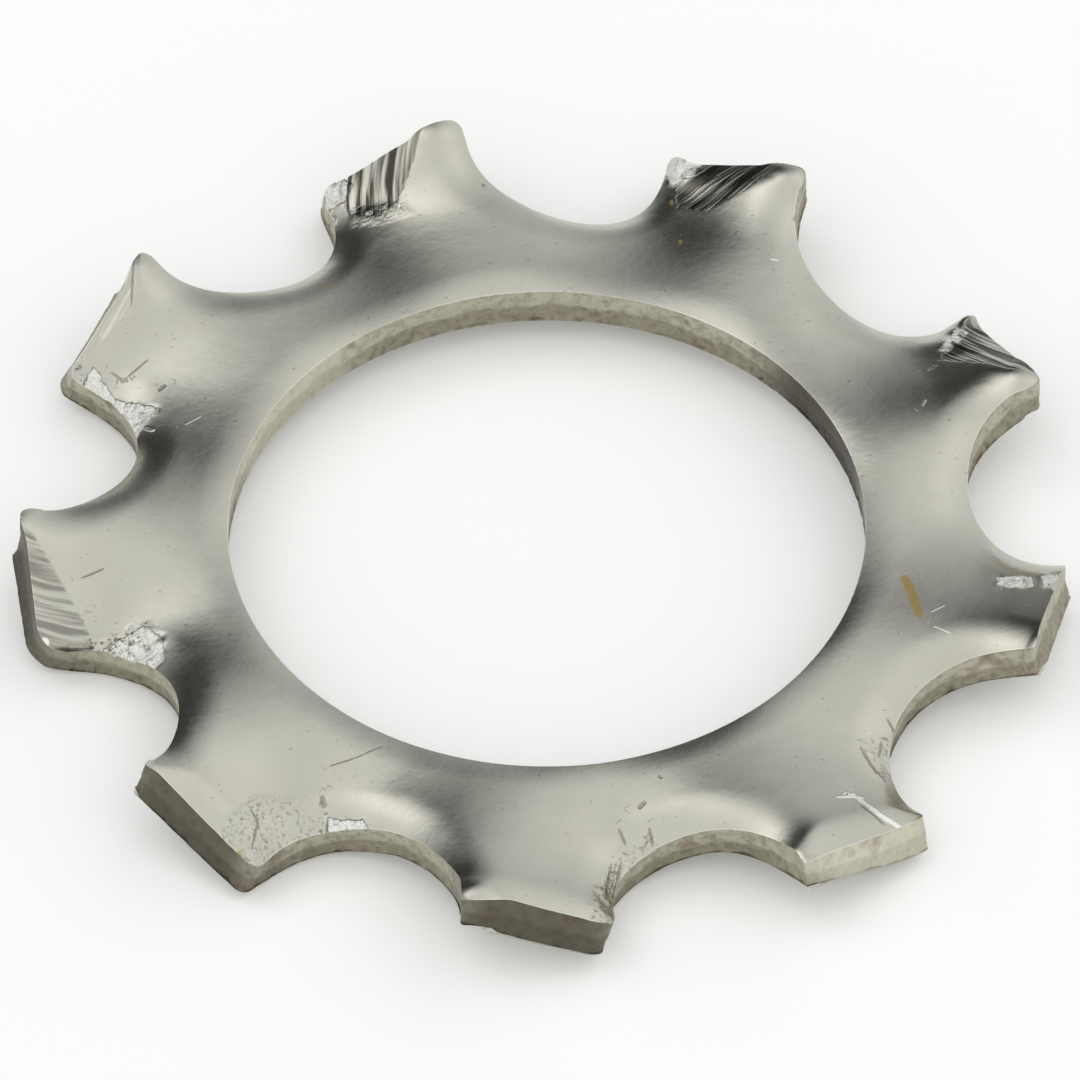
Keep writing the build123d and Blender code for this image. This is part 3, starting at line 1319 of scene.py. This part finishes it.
@dataclass(frozen=True)
class SoftBox:
    """A soft bright or dark patch of the tent, seen from the washer.

    Args:
        elevation: its height above the horizon, in degrees.
        azimuth: its bearing clockwise from the back, in degrees.
        width: how far it reaches before it has faded, in degrees.
        strength: light added to the tent's own, negative for a flag.
    """

    elevation: float
    azimuth: float
    width: float
    strength: float

    def direction(self) -> tuple[float, float, float]:
        """Finds where the patch is.

        Returns:
            The unit vector that points to it.
        """
        elevation, azimuth = math.radians(self.elevation), math.radians(self.azimuth)
        level = math.cos(elevation)
        return (math.sin(azimuth) * level, math.cos(azimuth) * level, math.sin(elevation))


SOFT_BOXES = (
    SoftBox(22.9, -31.0, 22.3, -1.22),
    SoftBox(52.3, -55.7, 12.5, 1.0),
    SoftBox(55.6, 52.8, 12.5, 0.2),
)


@dataclass
class Studio:
    """The floor, the lights and the camera.

    Args:
        floor_height: where the floor lies, in metres.
        elevation: how far above the floor the camera stands, in degrees.
        azimuth: how far it stands to the right of the front tooth, in degrees.
        roll: how far it is tilted about its own line of sight, in degrees.
        distance: how far off it stands, in millimetres.
        pixels_per_mm: how large it shows the washer.
        origin_pixel: where it shows the washer's origin.
        picture: width and height of the picture in pixels.
        tent: brightness of the tent at the height of the floor.
        tent_rise: how much brighter it is straight above.
        darkest: brightness that no part of it falls below.
        backdrop: brightness that the camera sees where it looks past the floor.
        warm: colour of its bright parts.
        cool: colour of its dark parts.
        floor_size: half the side of the floor, in metres.
        paper: colour of the floor.
        paper_glow: light that the floor gives off, as a lit paper sweep scatters back.
    """

    floor_height: float
    elevation: float = 48.106
    azimuth: float = 3.303
    roll: float = 0.385
    distance: float = 400.0
    pixels_per_mm: float = 59.581
    origin_pixel: tuple[float, float] = (547.088, 541.738)
    picture: int = 1080
    tent: float = 0.924
    tent_rise: float = 0.102
    darkest: float = 0.03
    backdrop: float = 0.9
    warm: str = "#FFFFFF"
    cool: str = "#F4F8FF"
    floor_size: float = 0.6
    paper: str = "#FAFAF9"
    paper_glow: float = 0.08

    def build(self) -> None:
        """Sets the stage."""
        self._floor()
        self._lights()
        self._camera()

    def _floor(self) -> None:
        """Lays a sheet of white paper under the lowest corners."""
        shell = bmesh.new()
        bmesh.ops.create_grid(shell, x_segments=1, y_segments=1, size=self.floor_size)
        bmesh.ops.translate(shell, verts=shell.verts[:], vec=(0, 0, self.floor_height))
        mesh = bpy.data.meshes.new("floor")
        shell.to_mesh(mesh)
        shell.free()
        floor = bpy.data.objects.new("floor", mesh)
        bpy.context.scene.collection.objects.link(floor)
        material = bpy.data.materials.new("floor_paper")
        material.use_nodes = True
        shader = material.node_tree.nodes["Principled BSDF"]
        shader.inputs["Base Color"].default_value = linear_colour(self.paper)
        shader.inputs["Roughness"].default_value = 0.9
        shader.inputs["Emission Color"].default_value = linear_colour("#FFFFFF")
        shader.inputs["Emission Strength"].default_value = self.paper_glow
        mesh.materials.append(material)

    def _lights(self) -> None:
        """Surrounds the washer with a white tent that has soft boxes and a black flag."""
        world = bpy.data.worlds.new("studio_tent")
        bpy.context.scene.world = world
        world.use_nodes = True
        world.node_tree.nodes.clear()
        add = partial(add_node, world.node_tree)
        direction = add("ShaderNodeTexCoord").outputs["Generated"]
        height = add("ShaderNodeSeparateXYZ", {0: direction}).outputs["Z"]
        light = add(MATH, {0: height, 1: self.tent_rise, 2: self.tent}, operation="MULTIPLY_ADD")
        for box in SOFT_BOXES:
            dot = add(VECTOR_MATH, {0: direction, 1: box.direction()}, operation="DOT_PRODUCT")
            spread = 1 / math.radians(box.width) ** 2
            power = add(MATH, {0: dot, 1: spread, 2: -spread}, operation="MULTIPLY_ADD")
            lobe = add(MATH, {0: power}, operation="EXPONENT")
            light = add(MATH, {0: lobe, 1: box.strength, 2: light}, operation="MULTIPLY_ADD")
        shown = add(MATH, {0: light, 1: self.darkest}, operation="MAXIMUM")
        tints = {0: light, 6: linear_colour(self.cool), 7: linear_colour(self.warm)}
        tint = add(MIX, tints, data_type="RGBA")
        seen = add("ShaderNodeLightPath").outputs["Is Camera Ray"]
        strength = add(MIX, {0: seen, 2: shown, 3: self.backdrop}, data_type="FLOAT")
        back = add("ShaderNodeBackground", {"Color": tint, "Strength": strength})
        add("ShaderNodeOutputWorld", {"Surface": back})

    def _camera(self) -> None:
        """Stands the camera at the viewing angle."""
        camera = bpy.data.cameras.new("camera")
        camera.lens = camera.sensor_width * self.pixels_per_mm * self.distance / self.picture
        camera.clip_start = 0.01
        camera.clip_end = 10.0
        elevation = math.radians(self.elevation)
        azimuth = math.radians(self.azimuth)
        back = Vector(
            (
                math.sin(azimuth) * math.cos(elevation),
                -math.cos(azimuth) * math.cos(elevation),
                math.sin(elevation),
            )
        )
        turn = back.to_track_quat("Z", "Y").to_matrix() @ Matrix.Rotation(-math.radians(self.roll), 3, "Z")
        right, up = turn.col[0], turn.col[1]
        offset_x = (self.origin_pixel[0] - self.picture / 2) / self.pixels_per_mm
        offset_y = (self.origin_pixel[1] - self.picture / 2) / self.pixels_per_mm
        holder = bpy.data.objects.new("camera", camera)
        place = back * self.distance - right * offset_x + up * offset_y
        holder.matrix_world = Matrix.Translation(place * MM) @ turn.to_4x4()
        bpy.context.scene.collection.objects.link(holder)
        bpy.context.scene.camera = holder


def make_washer() -> bpy.types.Object:
    """Makes the washer from a flat blank and dresses it.

    Returns:
        The finished piece.
    """
    plan = Plan()
    shell = Blank(plan).build()
    Press(plan).form(shell)
    bmesh.ops.scale(shell, vec=(MM, MM, MM), verts=shell.verts[:])
    bmesh.ops.recalc_face_normals(shell, faces=shell.faces[:])
    mesh = bpy.data.meshes.new("lock_washer_body")
    shell.to_mesh(mesh)
    shell.free()
    mesh.polygons.foreach_set("use_smooth", [True] * len(mesh.polygons))
    mesh.set_sharp_from_angle(angle=math.radians(SHARP_ANGLE))
    mesh.materials.append(TumbledSteel().make())
    mesh.materials.append(ShearedSteel().make())
    washer = bpy.data.objects.new("lock_washer_body", mesh)
    bpy.context.scene.collection.objects.link(washer)
    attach(washer, "root")
    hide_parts(NODE)
    LOG.info("%s: %d faces", washer.name, len(mesh.polygons))
    return washer


def main() -> None:
    logging.basicConfig(level=logging.INFO)
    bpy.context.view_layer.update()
    washer = make_washer()
    Studio(min(vertex.co.z for vertex in washer.data.vertices)).build()
    bpy.context.scene.view_settings.view_transform = "Standard"


if __name__ == "__main__":
    main()
